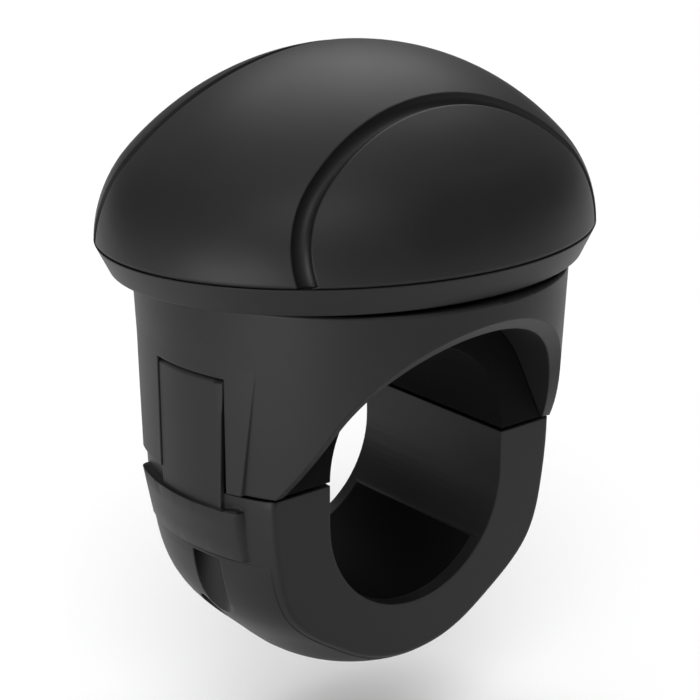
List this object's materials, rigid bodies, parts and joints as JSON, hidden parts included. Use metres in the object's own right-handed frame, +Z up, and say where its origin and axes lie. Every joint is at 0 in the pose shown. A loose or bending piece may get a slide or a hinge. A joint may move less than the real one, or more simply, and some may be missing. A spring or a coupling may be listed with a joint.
{
  "type": "steering wheel spinner knob",
  "caption": "Oval domed spinner knob on a ball-bearing spindle, with a two-part padded clamp for a steering wheel rim.",
  "frame": {"origin": "centre of the rim bore, halfway along it", "axes": "+Z up the knob's spin axis, +Y along the rim bore, +X across the rim"},
  "size_m": [0.0702, 0.0598, 0.0823],
  "materials": {
    "shell_plastic": "moulded black plastic with a fine satin sheen",
    "pad_rubber": "matte black rubber",
    "fastener_steel": "bright zinc-plated steel",
    "black_screw_steel": "black oxide on steel",
    "bearing_steel": "ground bearing steel",
    "cage_plastic": "natural nylon",
    "insert_brass": "plain machined brass"
  },
  "bodies": {
    "saddle": {"saddle_body": "shell_plastic", "saddle_pad": "pad_rubber", "spindle_bolt": "fastener_steel", "spindle_spacer": "fastener_steel", "spindle_washer": "fastener_steel", "spindle_nut": "fastener_steel", "bearing_inner_ring": "bearing_steel", "threaded_inserts": "insert_brass"},
    "knob": {"cap_dome": "shell_plastic", "cap_base": "shell_plastic", "cap_screws": "black_screw_steel", "bearing_outer_ring": "bearing_steel", "bearing_shields": "bearing_steel", "bearing_clip": "bearing_steel"},
    "ball_set": {"bearing_balls": "bearing_steel", "bearing_cage": "cage_plastic"},
    "clamp": {"clamp_half": "shell_plastic", "clamp_pad": "pad_rubber", "clamp_screws": "black_screw_steel", "clamp_washers": "fastener_steel"}
  },
  "joints": [
    {"name": "knob_spin", "type": "hinge", "parent": "saddle", "child": "knob", "pos_m": [0, 0, 0.0293], "axis": [0, 0, 1], "continuous": true},
    {"name": "cage_spin", "type": "hinge", "parent": "saddle", "child": "ball_set", "pos_m": [0, 0, 0.0293], "axis": [0, 0, 1], "continuous": true},
    {"name": "clamp_drop", "type": "slide", "parent": "saddle", "child": "clamp", "axis": [0, 0, -1], "range_m": [0, 0.015]}
  ],
  "couplings": [
    {"joint": "cage_spin", "follows": "knob_spin", "ratio": 0.64}
  ]
}
